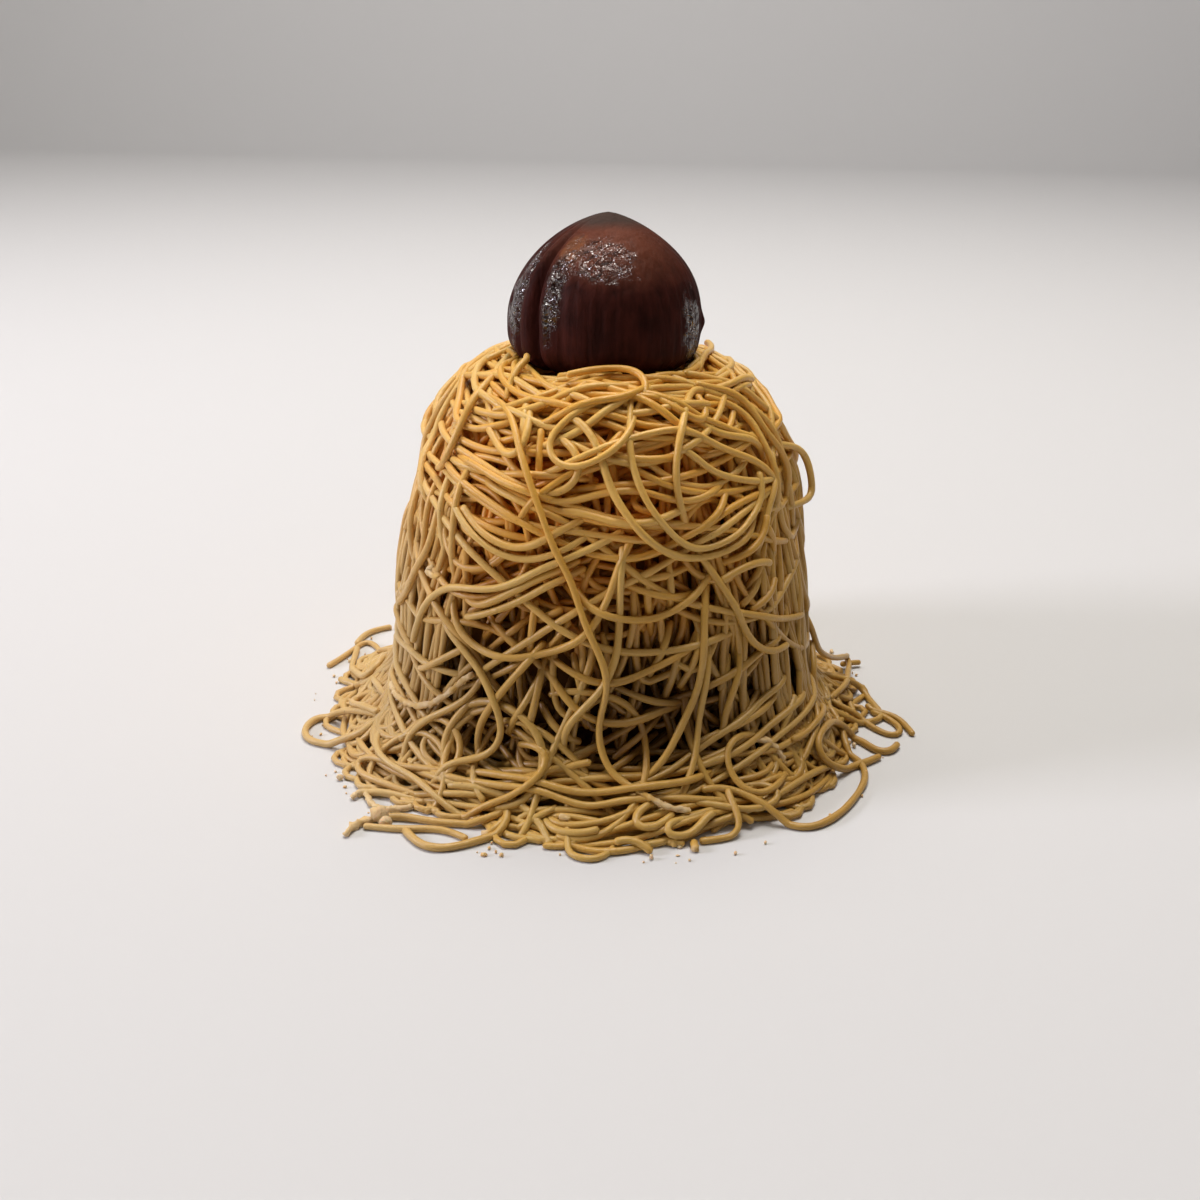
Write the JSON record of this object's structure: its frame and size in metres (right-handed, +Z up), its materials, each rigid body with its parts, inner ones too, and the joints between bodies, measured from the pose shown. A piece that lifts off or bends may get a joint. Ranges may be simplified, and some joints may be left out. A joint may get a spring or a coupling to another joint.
{
  "type": "mont blanc cake",
  "caption": "Bell-shaped mont blanc cake of thin chestnut cream strands, with a glazed whole chestnut on its flat top and loose strand ends round its foot.",
  "frame": {"origin": "middle of the heap's flat underside, straight below the chestnut's point", "axes": "+Z up, -Y towards the side that the picture shows, +X to that side's right, along the widest spread of the loose strands"},
  "size_m": [0.1199, 0.1083, 0.0971],
  "materials": {
    "chestnut_cream": "satin golden beige, slightly translucent",
    "glazed_chestnut": "dark red-brown, glazed and glossy, matte at the point"
  },
  "bodies": {
    "root": {"strand_heap": "chestnut_cream", "chestnut": "glazed_chestnut"}
  },
  "joints": []
}
